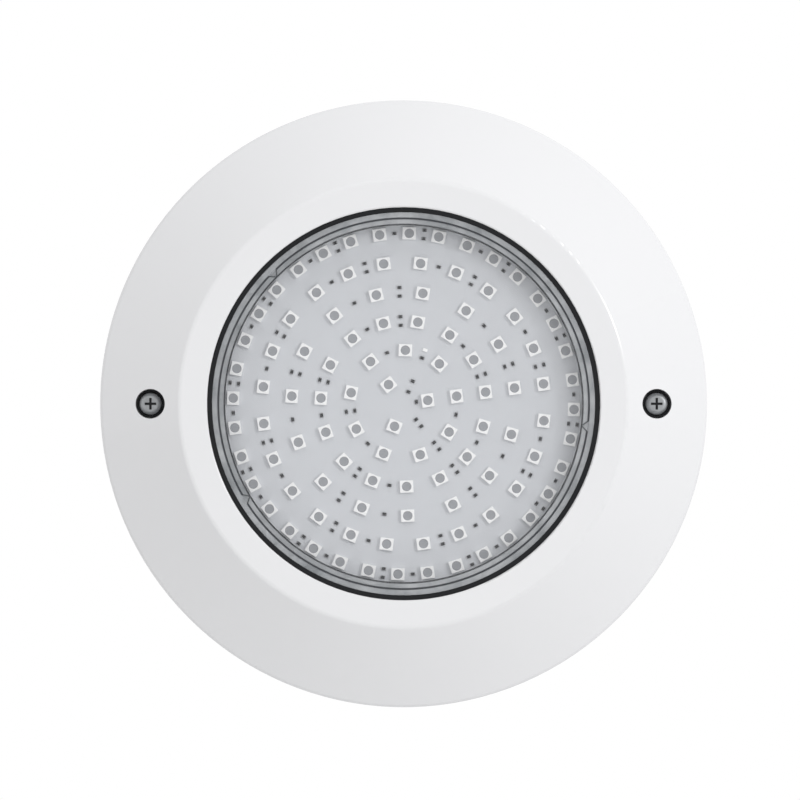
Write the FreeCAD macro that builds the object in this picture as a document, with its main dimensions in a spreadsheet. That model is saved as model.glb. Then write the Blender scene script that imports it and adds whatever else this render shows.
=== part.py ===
import FreeCAD, Part
import math
import os
import re
import Sketcher

# Underwater pool light: a slim lamp screwed to a wall plate.
# The wall plate's back face lies on the plane y = 0 and the lamp faces -Y, with +Z up.
# "Depth" is the distance in front of that plane, so a point at depth d has y = -d.

doc = FreeCAD.newDocument("pool_light")

SIZES = {
    # face ring
    "ring_radius": 125,
    "face_depth": 34,
    "band_radius": 92,
    "opening_radius": 80.5,
    "rim_depth": 9,
    "ring_foot": 1.2,
    "shell_wall": 3,
    "crest_fillet": 3,
    "rim_fillet": 2.5,
    "opening_fillet": 0.6,
    "land_width": 7.8,
    # window, gasket and seal
    "gasket_lip_wall": 1.85,
    "gasket_thickness": 1.5,
    "gasket_below_face": 0.8,
    "lens_below_face": 1,
    "lens_thickness": 3,
    "lens_flange_width": 7.6,
    "lens_flange_thickness": 2.5,
    "lens_shoulder_width": 2.5,
    "lens_skirt_wall": 2.5,
    "lens_groove_depth": 0.4,
    "notch_half_angle": 1.4,
    "notch_angle_1": 135,
    "notch_angle_2": 211,
    "notch_angle_3": 353,
    "seal_section": 2.2,
    "seal_radius": 81,
    # rear housing
    "housing_flange_radius": 95,
    "housing_wall": 3,
    "housing_flange_thickness": 4,
    "housing_back_depth": 6,
    "housing_step_depth": 15,
    "housing_screw_count": 8,
    "housing_screw_circle": 90,
    "housing_screw_radius": 1.5,
    "housing_screw_bite": 5,
    "housing_screw_head_radius": 2.8,
    "housing_screw_head_height": 2.4,
    # heat spreader and LED board
    "air_gap": 8.4,
    "board_thickness": 1.6,
    "spreader_thickness": 2,
    "ledge_width": 3.9,
    # LEDs and resistors
    "led_start_angle": 8.1,
    "led_radial": 5,
    "led_tangential": 5.5,
    "led_height": 1.5,
    "led_window_radius": 1.95,
    "led_window_height": 1.3,
    "led_radius_1": 10,
    "led_radius_2": 22,
    "led_radius_3": 34,
    "led_radius_4": 46,
    "led_radius_5": 58,
    "led_radius_6": 70,
    "led_count_1": 3,
    "led_count_2": 9,
    "led_count_3": 15,
    "led_count_4": 15,
    "led_count_5": 24,
    "led_count_6": 36,
    "resistor_length": 2,
    "resistor_width": 1.25,
    "resistor_height": 0.55,
    "terminal_length": 0.35,
    "pair_offset": 1.75,
    "centre_resistor_radius": 5.3,
    # face screws and their seats
    "screw_circle": 104,
    "recess_radius": 6.1,
    "recess_floor_depth": 16,
    "tower_wall": 2.4,
    "tower_foot_depth": 12,
    "screw_shank_radius": 2.45,
    "screw_hole_clearance": 0.3,
    "screw_length": 14,
    "screw_tip_bevel": 0.6,
    "screw_head_radius": 4.6,
    "screw_head_height": 3.1,
    "screw_head_fillet": 1.9,
    "cross_span": 4.8,
    "cross_width": 1,
    "cross_depth": 1.9,
    "washer_thickness": 1.2,
    "washer_collar": 1.2,
    "washer_gap": 0.3,
    "collar_gap": 0.3,
    # wall plate
    "plate_radius": 119,
    "plate_thickness": 4,
    "plate_opening_radius": 30,
    "plate_rim_width": 2.5,
    "plate_rim_depth": 9,
    "wall_hole_circle": 75,
    "wall_hole_radius": 2.75,
    "wall_hole_count": 4,
    "wall_countersink": 2.5,
    "insert_radius": 3.5,
    "insert_wall_round": 3.5,
    "thread_clearance": 0.07,
    # driver electronics
    "driver_width": 84,
    "driver_height": 34,
    "driver_bottom": 20,
    "driver_thickness": 1.6,
    "standoff_radius": 2.6,
    "standoff_height": 2,
    "standoff_inset": 4,
    "board_screw_radius": 1.2,
    "board_screw_head_radius": 2.2,
    "board_screw_head_height": 1.4,
    "component_height": 4.6,
    "component_inset": 8,
    "rectifier_width": 8,
    "rectifier_height": 6.5,
    "rectifier_rise": 2.6,
    "rectifier_place": 15,
    "chip_width": 6,
    "chip_height": 5,
    "chip_rise": 1.6,
    "chip_place": 8,
    "coil_side": 8,
    "coil_top_radius": 3.6,
    "coil_top_rise": 1,
    "coil_place": 20,
    "can_radius": 3.15,
    "can_place": 30,
    "can_spacing": 8,
    "fuse_length": 6.1,
    "fuse_side": 2.7,
    "terminal_width": 12,
    "terminal_depth": 8,
    "terminal_well_radius": 1.5,
    "terminal_well_depth": 2,
    "lead_radius": 0.75,
    "lead_spacing": 5,
    "lead_bend": 2.5,
    "lead_hole_radius": 1.4,
    # cable gland
    "cable_radius": 3.6,
    "gland_thread_radius": 8,
    "gland_bore_radius": 4.4,
    "gland_flange_flats": 22,
    "gland_flange_thickness": 5,
    "gland_inside_length": 7,
    "gland_outside_length": 9,
    "gland_ring_section": 1.7,
    "locknut_flats": 20,
    "locknut_thickness": 4.5,
    "clamp_nut_flats": 24,
    "clamp_nut_tail": 5,
    "seal_pocket_radius": 6.5,
    "seal_pocket_depth": 7.5,
    "clamp_nut_gap": 0.5,
    # clearances between pieces that fit together
    "fit_gap": 0.1,
}

sizes = doc.addObject("Spreadsheet::Sheet", "sizes")
for row, (alias, number) in enumerate(SIZES.items(), start=1):
    sizes.set(f"A{row}", alias)
    sizes.set(f"B{row}", str(number))
    sizes.setAlias(f"B{row}", alias)
doc.recompute()

subparts = []


# ---- expressions -------------------------------------------------------------------------


def bound(expression):
    """Write an expression of size names so that any object can read it from the sheet."""
    names = r"[a-z]\w*"
    return re.sub(names, lambda word: f"sizes.{word[0]}" if word[0] in SIZES else word[0], expression)


def value(expression):
    """The number that an expression gives now."""
    return float(sizes.evalExpression(bound(expression)))


# Slope of the flange that falls from the flat band to the rim, as depth over radius.
SLOPE = "((face_depth - rim_depth) / (ring_radius - band_radius))"
# Wall thickness of that flange, measured along the depth.
SLOPE_WALL = f"(shell_wall * sqrt(1 + {SLOPE} ^ 2))"

# Levels, from the face backwards.
BAND_BACK = "(face_depth - shell_wall)"
LENS_FRONT = "(face_depth - lens_below_face)"
LENS_BACK = f"({LENS_FRONT} - lens_thickness)"
FLANGE_FRONT = f"({BAND_BACK} - gasket_thickness)"
FLANGE_BACK = f"({FLANGE_FRONT} - lens_flange_thickness)"
BOARD_FRONT = f"({LENS_BACK} - air_gap)"
SPREADER_FRONT = f"({BOARD_FRONT} - board_thickness)"
SPREADER_BACK = f"({SPREADER_FRONT} - spreader_thickness)"
HOUSING_FLANGE_BACK = f"({FLANGE_BACK} - housing_flange_thickness)"
HOUSING_FLOOR = "(housing_back_depth + housing_wall)"
DRIVER_BACK = f"({HOUSING_FLOOR} + standoff_height)"
DRIVER_FRONT = f"({DRIVER_BACK} + driver_thickness)"
SCREW_SEAT = "(recess_floor_depth + washer_thickness)"

# Radii, from the opening inwards.
LENS_RADIUS = "(opening_radius - gasket_lip_wall - 2 * fit_gap)"
LENS_FLANGE_RADIUS = f"({LENS_RADIUS} + lens_flange_width)"
SKIRT_OUTER = f"({LENS_RADIUS} - lens_shoulder_width)"
SKIRT_INNER = f"({SKIRT_OUTER} - lens_skirt_wall)"
HOUSING_BORE = f"({SKIRT_OUTER} + 2 * fit_gap)"
LEDGE_RADIUS = f"({HOUSING_BORE} - ledge_width)"
LAND_RADIUS = f"({LENS_FLANGE_RADIUS} + fit_gap)"


# ---- sketches and features ---------------------------------------------------------------


def origin_plane(body, role):
    """One of a body's own origin planes or axes."""
    return next(item for item in body.Origin.OriginFeatures if item.Role == role)


def new_body(name):
    """An empty body that may hold several separate solids."""
    body = doc.addObject("PartDesign::Body", name)
    body.Label = name
    body.AllowCompound = True
    return body


def new_sketch(body, name, role, depth="0", turn="0"):
    """A sketch on an origin plane, moved forward by a depth and turned about its normal."""
    sketch = body.newObject("Sketcher::SketchObject", name)
    sketch.AttachmentSupport = [(origin_plane(body, role), "")]
    sketch.MapMode = "FlatFace"
    sketch.AttachmentOffset = FreeCAD.Placement(
        FreeCAD.Vector(0, 0, value(depth)), FreeCAD.Rotation(FreeCAD.Vector(0, 0, 1), value(turn))
    )
    sketch.setExpression("AttachmentOffset.Base.z", bound(depth))
    sketch.setExpression("AttachmentOffset.Rotation.Angle", bound(turn))
    return sketch


def hold(sketch, curve, point, direction, expression):
    """Hold a point of a curve at a distance from the sketch's origin along X or Y."""
    distance = value(expression)
    if distance == 0:
        other_axis = {"X": -2, "Y": -1}[direction]
        sketch.addConstraint(Sketcher.Constraint("PointOnObject", curve, point, other_axis))
        return
    kind = f"Distance{direction}"
    number = sketch.addConstraint(Sketcher.Constraint(kind, -1, 1, curve, point, distance))
    sketch.setExpression(f"Constraints[{number}]", bound(expression))


def draw_outline(sketch, corners):
    """Draw a closed outline of straight lines with its corners at (across, up) expressions."""
    first = sketch.GeometryCount
    spots = [FreeCAD.Vector(value(across), value(up), 0) for across, up in corners]
    for start, end in zip(spots, spots[1:] + spots[:1]):
        sketch.addGeometry(Part.LineSegment(start, end), False)
    for step, (across, up) in enumerate(corners):
        line = first + step
        line_before = first + (step - 1) % len(corners)
        sketch.addConstraint(Sketcher.Constraint("Coincident", line_before, 2, line, 1))
        hold(sketch, line, 1, "X", across)
        hold(sketch, line, 1, "Y", up)


def draw_circle(sketch, across, up, radius):
    """Draw a circle at (across, up) expressions."""
    centre = FreeCAD.Vector(value(across), value(up), 0)
    circle = sketch.addGeometry(Part.Circle(centre, FreeCAD.Vector(0, 0, 1), value(radius)), False)
    hold(sketch, circle, 3, "X", across)
    hold(sketch, circle, 3, "Y", up)
    number = sketch.addConstraint(Sketcher.Constraint("Radius", circle, value(radius)))
    sketch.setExpression(f"Constraints[{number}]", bound(radius))


def rectangle(centre_across, centre_up, width, height):
    """The corners of a rectangle given by its centre and its sides."""
    left, right = f"{centre_across} - {width} / 2", f"{centre_across} + {width} / 2"
    low, high = f"{centre_up} - {height} / 2", f"{centre_up} + {height} / 2"
    return [(left, low), (right, low), (right, high), (left, high)]


def hexagon(flats):
    """The corners of a hexagon about the axis, given across its flats."""
    corner = f"{flats} / sqrt(3)"
    return [
        (corner, "0"),
        (f"{corner} / 2", f"{flats} / 2"),
        (f"-{corner} / 2", f"{flats} / 2"),
        (f"-{corner}", "0"),
        (f"-{corner} / 2", f"-{flats} / 2"),
        (f"{corner} / 2", f"-{flats} / 2"),
    ]


def turn_outline(body, name, profile, kind="PartDesign::Revolution"):
    """Turn a profile of (radius, depth) corners about the lamp's axis, as solid or as a cut."""
    sketch = new_sketch(body, f"{name}_profile", "XY_Plane")
    draw_outline(sketch, [(radius, f"-({depth})") for radius, depth in profile])
    feature = body.newObject(kind, name)
    feature.Profile = sketch
    feature.ReferenceAxis = (sketch, ["V_Axis"])
    feature.Angle = 360
    body.Tip = feature
    doc.recompute()
    return feature


def pad(body, sketch, thickness, name):
    """Thicken a sketch towards the front."""
    feature = body.newObject("PartDesign::Pad", name)
    feature.Profile = sketch
    feature.setExpression("Length", bound(thickness))
    body.Tip = feature
    doc.recompute()
    return feature


def pocket(body, sketch, depth, name):
    """Cut a sketch backwards from its plane, and check that it took material away."""
    before = body.Shape.Volume
    feature = body.newObject("PartDesign::Pocket", name)
    feature.Profile = sketch
    feature.setExpression("Length", bound(depth))
    body.Tip = feature
    doc.recompute()
    if body.Shape.Volume >= before:
        raise RuntimeError(f"{name} cuts nothing")
    return feature


def repeat_round(body, features, count, name, angle="360"):
    """Repeat features about the lamp's axis."""
    pattern = body.newObject("PartDesign::PolarPattern", name)
    pattern.Originals = features
    pattern.Axis = (origin_plane(body, "Y_Axis"), [""])
    pattern.setExpression("Angle", bound(angle))
    pattern.setExpression("Occurrences", bound(count))
    body.Tip = pattern
    doc.recompute()
    return pattern


def turn_about_axis(body, angle):
    """Turn a whole body about the lamp's axis, anticlockwise as seen from the front."""
    body.Placement.Rotation = FreeCAD.Rotation(FreeCAD.Vector(0, -1, 0), 1)
    body.setExpression("Placement.Rotation.Angle", bound(angle))


def round_edge_names(shape, radius, depth, from_axis="0"):
    """Names of the circular edges with a radius, a depth and a distance from the lamp's axis."""
    names = []
    for number, edge in enumerate(shape.Edges, start=1):
        circle = edge.Curve
        if not isinstance(circle, Part.Circle):
            continue
        at_depth = abs(circle.Center.y + value(depth)) < 1e-6
        at_distance = abs(math.hypot(circle.Center.x, circle.Center.z) - value(from_axis)) < 1e-6
        if at_depth and at_distance and abs(circle.Radius - value(radius)) < 1e-6:
            names.append(f"Edge{number}")
    return names


def round_edges(body, base, places, radius, name, kind="PartDesign::Fillet"):
    """Round or chamfer the circles of a body at (radius, depth, distance from axis) places."""
    feature = body.newObject(kind, name)
    found = [edge for place in places for edge in round_edge_names(base.Shape, *place)]
    feature.Base = (base, found)
    feature.setExpression("Radius" if kind.endswith("Fillet") else "Size", bound(radius))
    body.Tip = feature
    doc.recompute()
    return feature


# ---- plain solids ------------------------------------------------------------------------


def cylinder(name, radius, height, depth="0", x="0", z="0"):
    """A cylinder along the lamp's axis that starts at a depth and runs forwards."""
    solid = doc.addObject("Part::Cylinder", name)
    solid.Placement.Rotation = FreeCAD.Rotation(FreeCAD.Vector(1, 0, 0), 90)
    solid.setExpression("Radius", bound(radius))
    solid.setExpression("Height", bound(height))
    solid.setExpression("Placement.Base.x", bound(x))
    solid.setExpression("Placement.Base.y", bound(f"-({depth})"))
    solid.setExpression("Placement.Base.z", bound(z))
    return solid


def box(name, width, height, thickness, depth, x="0", z="0"):
    """A box centred at (x, z) that starts at a depth and runs forwards."""
    solid = doc.addObject("Part::Box", name)
    solid.setExpression("Length", bound(width))
    solid.setExpression("Width", bound(thickness))
    solid.setExpression("Height", bound(height))
    solid.setExpression("Placement.Base.x", bound(f"{x} - ({width}) / 2"))
    solid.setExpression("Placement.Base.y", bound(f"-({depth}) - ({thickness})"))
    solid.setExpression("Placement.Base.z", bound(f"{z} - ({height}) / 2"))
    return solid


def combine(kind, name, members):
    """Join a list of solids by Part::MultiFuse, Part::MultiCommon or Part::Compound."""
    result = doc.addObject(kind, name)
    result.Label = name
    if kind == "Part::Compound":
        result.Links = members
    else:
        result.Shapes = members
    return result


def cut(name, base, tool):
    """Take one solid out of another."""
    result = doc.addObject("Part::Cut", name)
    result.Label = name
    result.Base = base
    result.Tool = tool
    return result


def keep(item):
    """List a finished sub-part for writing."""
    subparts.append(item)
    return item


# ---- face ring ---------------------------------------------------------------------------


def slope_depth(radius, wall="0"):
    """Depth of the flange's outside at a radius, less a wall measured along the depth."""
    return f"rim_depth + (ring_radius - {radius}) * {SLOPE} - {wall}"


def make_ring_shell():
    """The moulded shell: flat band, sloping flange, rim and the land that clamps the window."""
    inner_crest = f"(band_radius - shell_wall * (sqrt(1 + {SLOPE} ^ 2) - 1) / {SLOPE})"
    rim_inside = "(ring_radius - shell_wall)"
    land_outer = f"({LAND_RADIUS} + land_width)"
    body = new_body("ring_shell")
    shell = turn_outline(
        body,
        "shell",
        [
            ("opening_radius", "face_depth"),
            ("band_radius", "face_depth"),
            ("ring_radius", "rim_depth"),
            ("ring_radius", "ring_foot"),
            (rim_inside, "ring_foot"),
            (rim_inside, slope_depth(rim_inside, SLOPE_WALL)),
            (land_outer, slope_depth(land_outer, SLOPE_WALL)),
            (land_outer, FLANGE_BACK),
            (LAND_RADIUS, FLANGE_BACK),
            (LAND_RADIUS, BAND_BACK),
            ("opening_radius", BAND_BACK),
        ],
    )
    crest = round_edges(body, shell, [("band_radius", "face_depth")], "crest_fillet", "crest")
    rim = round_edges(body, crest, [("ring_radius", "rim_depth")], "rim_fillet", "rim")
    round_edges(body, rim, [("opening_radius", "face_depth")], "opening_fillet", "opening_edge")
    sketch = new_sketch(body, "pilot_holes_outline", "XZ_Plane", f"{FLANGE_BACK} + housing_screw_bite")
    draw_circle(sketch, "housing_screw_circle", "0", "housing_screw_radius")
    pilot = pocket(body, sketch, "housing_screw_bite", "pilot_hole")
    repeat_round(body, [pilot], "housing_screw_count", "pilot_holes")
    turn_about_axis(body, "180 / housing_screw_count")
    return body


def make_face_ring():
    """The white moulded ring with its two screw towers and recesses."""
    shell = make_ring_shell()
    half_wall = f"{SLOPE_WALL} / 2"
    envelope = new_body("ring_envelope")
    turn_outline(
        envelope,
        "envelope",
        [
            ("0", "0"),
            ("ring_radius - shell_wall / 2", "0"),
            ("ring_radius - shell_wall / 2", slope_depth("(ring_radius - shell_wall / 2)", half_wall)),
            ("band_radius", slope_depth("band_radius", half_wall)),
            ("0", slope_depth("band_radius", half_wall)),
        ],
    )
    tower_height = "face_depth - tower_foot_depth"
    columns, recesses = [], []
    for side, x in [("left", "-screw_circle"), ("right", "screw_circle")]:
        columns.append(
            cylinder(f"{side}_column", "recess_radius + tower_wall", tower_height, "tower_foot_depth", x)
        )
        recesses.append(cylinder(f"{side}_recess", "recess_radius", "face_depth", "recess_floor_depth", x))
        hole_radius = "screw_shank_radius + screw_hole_clearance"
        recesses.append(cylinder(f"{side}_screw_hole", hole_radius, "face_depth", "0", x))
    columns = combine("Part::MultiFuse", "columns", columns)
    towers = combine("Part::MultiCommon", "towers", [columns, envelope])
    solid_ring = combine("Part::MultiFuse", "solid_ring", [shell, towers])
    keep(cut("face_ring", solid_ring, combine("Part::MultiFuse", "recesses", recesses)))


# ---- window, gasket and seal -------------------------------------------------------------


def make_gasket():
    """The black rubber ring between the opening and the window, with its clamped flange."""
    body = keep(new_body("window_gasket"))
    inner = f"({LENS_RADIUS} + fit_gap)"
    turn_outline(
        body,
        "gasket",
        [
            (inner, FLANGE_FRONT),
            (LENS_FLANGE_RADIUS, FLANGE_FRONT),
            (LENS_FLANGE_RADIUS, BAND_BACK),
            ("opening_radius - fit_gap", BAND_BACK),
            ("opening_radius - fit_gap", "face_depth - gasket_below_face"),
            (inner, "face_depth - gasket_below_face"),
        ],
    )


def make_lens():
    """The clear window: a raised disc, a clamped flange, a skirt that presses on the spreader,
    two fine ring grooves and three locating notches between them."""
    body = keep(new_body("window_lens"))
    groove = "lens_groove_depth"
    groove_floor = f"({LENS_FRONT} - {groove})"
    turn_outline(
        body,
        "lens",
        [
            ("0", LENS_FRONT),
            (f"{SKIRT_INNER} - {groove}", LENS_FRONT),
            (SKIRT_INNER, groove_floor),
            (f"{SKIRT_INNER} + {groove}", LENS_FRONT),
            (f"{SKIRT_OUTER} - {groove}", LENS_FRONT),
            (SKIRT_OUTER, groove_floor),
            (f"{SKIRT_OUTER} + {groove}", LENS_FRONT),
            (LENS_RADIUS, LENS_FRONT),
            (LENS_RADIUS, FLANGE_FRONT),
            (LENS_FLANGE_RADIUS, FLANGE_FRONT),
            (LENS_FLANGE_RADIUS, FLANGE_BACK),
            (SKIRT_OUTER, FLANGE_BACK),
            (SKIRT_OUTER, SPREADER_FRONT),
            (SKIRT_INNER, SPREADER_FRONT),
            (SKIRT_INNER, LENS_BACK),
            ("0", LENS_BACK),
        ],
    )
    half_width = f"{SKIRT_OUTER} * tan(notch_half_angle)"
    for number in (1, 2, 3):
        sketch = new_sketch(body, f"notch_{number}_outline", "XZ_Plane", LENS_FRONT, f"notch_angle_{number}")
        draw_outline(
            sketch,
            [
                (f"{SKIRT_OUTER}", f"-{half_width}"),
                (f"{SKIRT_OUTER}", half_width),
                (f"{SKIRT_INNER} + {groove}", "0"),
            ],
        )
        pocket(body, sketch, groove, f"notch_{number}")


def make_window_seal():
    """The O-ring between the window's flange and the rear housing."""
    ring = keep(doc.addObject("Part::Torus", "window_seal"))
    ring.Label = "window_seal"
    ring.Placement.Rotation = FreeCAD.Rotation(FreeCAD.Vector(1, 0, 0), 90)
    ring.setExpression("Radius1", bound("seal_radius"))
    ring.setExpression("Radius2", bound("seal_section / 2"))
    ring.setExpression("Placement.Base.y", bound(f"-({FLANGE_BACK} - seal_section / 2)"))


# ---- rear housing ------------------------------------------------------------------------


def make_rear_housing():
    """The moulded cup behind the window: flange with a seal groove, ledge for the spreader."""
    body = keep(new_body("rear_housing"))
    gland_hole = "(gland_thread_radius + fit_gap)"
    cup_radius = f"({LEDGE_RADIUS} + housing_wall)"
    collar_radius = f"({HOUSING_BORE} + housing_wall)"
    groove_inner = "(seal_radius - seal_section / 2 - fit_gap)"
    groove_outer = "(seal_radius + seal_section / 2 + fit_gap)"
    groove_floor = f"({FLANGE_BACK} - seal_section)"
    turn_outline(
        body,
        "housing",
        [
            (gland_hole, "housing_back_depth"),
            (cup_radius, "housing_back_depth"),
            (cup_radius, "housing_step_depth"),
            (collar_radius, "housing_step_depth"),
            (collar_radius, HOUSING_FLANGE_BACK),
            ("housing_flange_radius", HOUSING_FLANGE_BACK),
            ("housing_flange_radius", FLANGE_BACK),
            (groove_outer, FLANGE_BACK),
            (groove_outer, groove_floor),
            (groove_inner, groove_floor),
            (groove_inner, FLANGE_BACK),
            (HOUSING_BORE, FLANGE_BACK),
            (HOUSING_BORE, SPREADER_BACK),
            (LEDGE_RADIUS, SPREADER_BACK),
            (LEDGE_RADIUS, HOUSING_FLOOR),
            (gland_hole, HOUSING_FLOOR),
        ],
    )
    sketch = new_sketch(body, "screw_holes_outline", "XZ_Plane", FLANGE_BACK)
    draw_circle(sketch, "housing_screw_circle", "0", "housing_screw_radius + fit_gap")
    hole = pocket(body, sketch, "housing_flange_thickness", "screw_hole")
    repeat_round(body, [hole], "housing_screw_count", "screw_holes")
    turn_about_axis(body, "180 / housing_screw_count")


def make_housing_screws():
    """The screws that pull the rear housing against the face ring."""
    body = keep(new_body("housing_screws"))
    head_back = f"({HOUSING_FLANGE_BACK} - housing_screw_head_height)"
    sketch = new_sketch(body, "heads_outline", "XZ_Plane", head_back)
    draw_circle(sketch, "housing_screw_circle", "0", "housing_screw_head_radius")
    head = pad(body, sketch, "housing_screw_head_height", "head")
    sketch = new_sketch(body, "shanks_outline", "XZ_Plane", HOUSING_FLANGE_BACK)
    draw_circle(sketch, "housing_screw_circle", "0", "housing_screw_radius")
    shank = pad(body, sketch, "housing_flange_thickness + housing_screw_bite", "shank")
    repeat_round(body, [head, shank], "housing_screw_count", "screws")
    turn_about_axis(body, "180 / housing_screw_count")


# ---- heat spreader and LED board ---------------------------------------------------------

LEAD_DEPTH = f"({DRIVER_FRONT} + component_height / 2)"
LEAD_Z = "(driver_bottom - lead_bend - 1)"


def make_heat_spreader():
    """The aluminium plate that carries the LED board, with two holes for the leads."""
    body = keep(new_body("heat_spreader"))
    sketch = new_sketch(body, "spreader_outline", "XZ_Plane", SPREADER_BACK)
    draw_circle(sketch, "0", "0", SKIRT_OUTER)
    for x in ("-lead_spacing / 2", "lead_spacing / 2"):
        draw_circle(sketch, x, LEAD_Z, "lead_hole_radius")
    pad(body, sketch, "spreader_thickness", "plate")


def make_led_board():
    """The round circuit board inside the window's skirt."""
    body = keep(new_body("led_board"))
    sketch = new_sketch(body, "board_outline", "XZ_Plane", SPREADER_FRONT)
    draw_circle(sketch, "0", "0", f"{SKIRT_INNER} - 2 * fit_gap")
    pad(body, sketch, "board_thickness", "board")


LED_RINGS = (1, 2, 3, 4, 5, 6)


def make_led_ring(ring):
    """One ring of LEDs: white square frames, and the round window that sits in each."""
    radius, count = f"led_radius_{ring}", f"led_count_{ring}"
    frames = keep(new_body(f"led_frames_{ring}"))
    sketch = new_sketch(frames, f"frame_{ring}_outline", "XZ_Plane", BOARD_FRONT)
    draw_outline(sketch, rectangle(radius, "0", "led_radial", "led_tangential"))
    draw_circle(sketch, radius, "0", "led_window_radius")
    frame = pad(frames, sketch, "led_height", f"frame_{ring}")
    repeat_round(frames, [frame], count, f"frames_{ring}")
    windows = keep(new_body(f"led_windows_{ring}"))
    sketch = new_sketch(windows, f"window_{ring}_outline", "XZ_Plane", BOARD_FRONT)
    draw_circle(sketch, radius, "0", "led_window_radius")
    window = pad(windows, sketch, "led_window_height", f"window_{ring}")
    repeat_round(windows, [window], count, f"windows_{ring}")
    turn_about_axis(frames, "led_start_angle")
    turn_about_axis(windows, "led_start_angle")


# Resistors stand in the gaps between the LEDs of a ring. The gaps come in threes: one holds a
# pair, one a single resistor and one none. The numbers say which gap of the three is which.
PAIR_GAP = {1: 2, 2: 1, 3: 0, 4: 0, 5: 0, 6: 1}
SINGLE_GAP = {1: 0, 2: 2, 3: 1, 4: 1, 5: 1, 6: 2}
MARKED_RING = 2


def resistor_places():
    """Every resistor row as (name, radius, angle from the first LED, count, angle covered)."""
    places = [
        ("centre_a", "centre_resistor_radius", "0", 1, "360"),
        ("centre_b", "centre_resistor_radius", "60", 1, "360"),
    ]
    for ring in LED_RINGS:
        radius, count = f"led_radius_{ring}", f"led_count_{ring}"
        groups = round(value(count) / 3)
        pair = f"360 / {count} * ({PAIR_GAP[ring]} + 0.5)"
        single = f"360 / {count} * ({SINGLE_GAP[ring]} + 0.5)"
        places.append((f"single_{ring}", radius, single, groups, "360"))
        places.append((f"inner_{ring}", f"{radius} - pair_offset", pair, groups, "360"))
        if ring == MARKED_RING:
            # the first outer one of this ring is the white marked chip, and patterns run backwards
            pair = f"{pair} - 360 / {groups}"
            places.append((f"outer_{ring}", f"{radius} + pair_offset", pair, groups - 1, f"360 / {groups}"))
        else:
            places.append((f"outer_{ring}", f"{radius} + pair_offset", pair, groups, "360"))
    return places


def add_blocks(body, name, radius, turn, offsets, length):
    """Thicken blocks of a resistor, which lie side by side across its radius."""
    sketch = new_sketch(body, f"{name}_outline", "XZ_Plane", BOARD_FRONT, turn)
    for offset in offsets:
        draw_outline(sketch, rectangle(radius, offset, "resistor_width", length))
    return pad(body, sketch, "resistor_height", name)


def make_resistors():
    """The chip resistors: dark bodies and the bright terminals on their ends."""
    bodies = keep(new_body("resistor_bodies"))
    terminals = keep(new_body("resistor_terminals"))
    middle_length = "(resistor_length - 2 * terminal_length)"
    end_offset = "(resistor_length - terminal_length) / 2"
    for name, radius, turn, count, angle in resistor_places():
        middle = add_blocks(bodies, f"{name}_body", radius, turn, ["0"], middle_length)
        ends = add_blocks(
            terminals, f"{name}_ends", radius, turn, [end_offset, f"-{end_offset}"], "terminal_length"
        )
        if count > 1:
            repeat_round(bodies, [middle], str(count), f"{name}_bodies", angle)
            repeat_round(terminals, [ends], str(count), f"{name}_terminals", angle)
    turn_about_axis(bodies, "led_start_angle")
    turn_about_axis(terminals, "led_start_angle")


def make_marked_chip():
    """The one white chip of the board."""
    body = keep(new_body("white_chip"))
    turn = f"360 / led_count_{MARKED_RING} * ({PAIR_GAP[MARKED_RING]} + 0.5)"
    radius = f"led_radius_{MARKED_RING} + pair_offset"
    add_blocks(body, "white_block", radius, turn, ["0"], "resistor_length")
    turn_about_axis(body, "led_start_angle")


# ---- driver electronics ------------------------------------------------------------------

DRIVER_Z = "(driver_bottom + driver_height / 2)"


def driver_corners():
    """The (x, z) places of the driver board's four screws."""
    x = "(driver_width / 2 - standoff_inset)"
    low, high = "(driver_bottom + standoff_inset)", "(driver_bottom + driver_height - standoff_inset)"
    return [(f"-{x}", low), (x, low), (x, high), (f"-{x}", high)]


def make_driver_board():
    """The driver's circuit board, its standoffs and its screws."""
    board = keep(new_body("driver_board"))
    sketch = new_sketch(board, "driver_outline", "XZ_Plane", DRIVER_BACK)
    draw_outline(sketch, rectangle("0", DRIVER_Z, "driver_width", "driver_height"))
    standoffs = keep(new_body("driver_standoffs"))
    sleeves = new_sketch(standoffs, "standoffs_outline", "XZ_Plane", HOUSING_FLOOR)
    screws = keep(new_body("driver_screws"))
    shanks = new_sketch(screws, "driver_shanks_outline", "XZ_Plane", HOUSING_FLOOR)
    heads = new_sketch(screws, "driver_heads_outline", "XZ_Plane", DRIVER_FRONT)
    hole_radius = "board_screw_radius + fit_gap"
    for x, z in driver_corners():
        draw_circle(sketch, x, z, hole_radius)
        draw_circle(sleeves, x, z, "standoff_radius")
        draw_circle(sleeves, x, z, hole_radius)
        draw_circle(shanks, x, z, "board_screw_radius")
        draw_circle(heads, x, z, "board_screw_head_radius")
    pad(board, sketch, "driver_thickness", "driver_plate")
    pad(standoffs, sleeves, "standoff_height", "sleeves")
    pad(screws, shanks, "standoff_height + driver_thickness", "driver_shanks")
    pad(screws, heads, "board_screw_head_height", "driver_heads")


def both_sides(place):
    """A place on the left and the same place on the right, numbered."""
    return enumerate([f"-{place}", place], start=1)


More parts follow.
